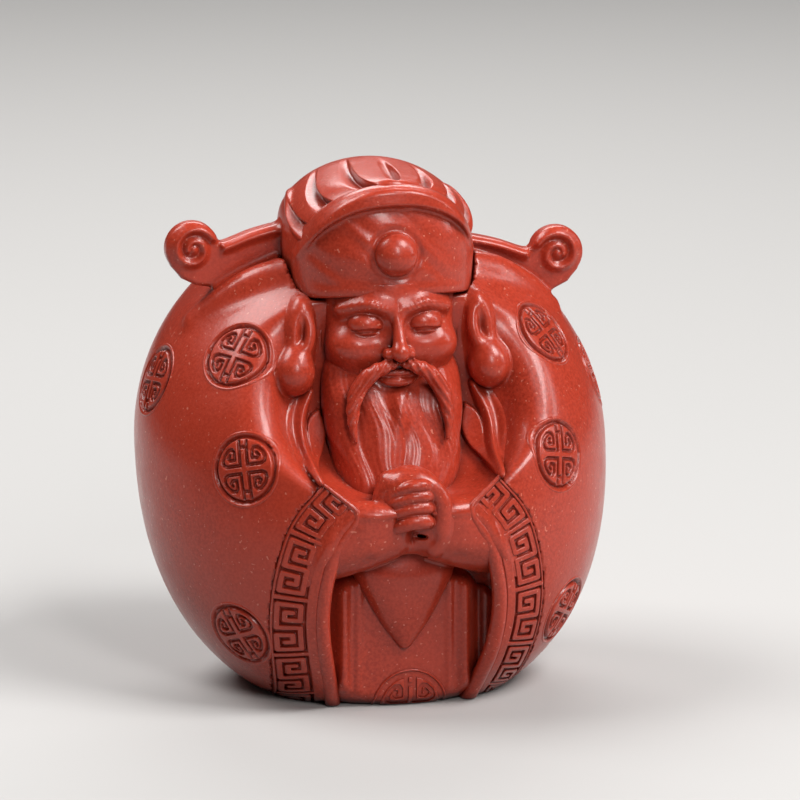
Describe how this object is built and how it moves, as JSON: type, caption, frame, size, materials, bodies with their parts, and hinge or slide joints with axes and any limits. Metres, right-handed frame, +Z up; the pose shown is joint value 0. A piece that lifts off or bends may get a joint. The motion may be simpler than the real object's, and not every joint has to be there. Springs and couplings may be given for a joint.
{
  "type": "figurine tea pet",
  "caption": "Small hollow egg-shaped clay figure of a bearded official with a winged hat, clasped hands and wide sleeves edged with key fret, made to stand on a tea tray.",
  "frame": {"origin": "on the table under the middle of the figure's bounding box", "axes": "+Z up, -Y the way the figure faces, +X to its left hand"},
  "size_m": [0.0478, 0.0452, 0.0529],
  "materials": {
    "red_clay": "unglazed fine red clay, rubbed to a satin sheen"
  },
  "bodies": {
    "root": {"front_shell": "red_clay", "rear_shell": "red_clay", "base_disc": "red_clay", "under_robe": "red_clay", "head": "red_clay", "hat_crown": "red_clay", "hat_visor": "red_clay", "hat_jewel": "red_clay", "hat_wing_left": "red_clay", "hat_wing_right": "red_clay", "ear_left": "red_clay", "ear_right": "red_clay", "beard": "red_clay", "hat_ribbon_left": "red_clay", "hat_ribbon_right": "red_clay", "forearm_left": "red_clay", "forearm_right": "red_clay", "cuff_band_left": "red_clay", "cuff_band_right": "red_clay", "sleeve_fold_left": "red_clay", "sleeve_fold_right": "red_clay", "fist_right": "red_clay", "hand_left": "red_clay"}
  },
  "joints": []
}
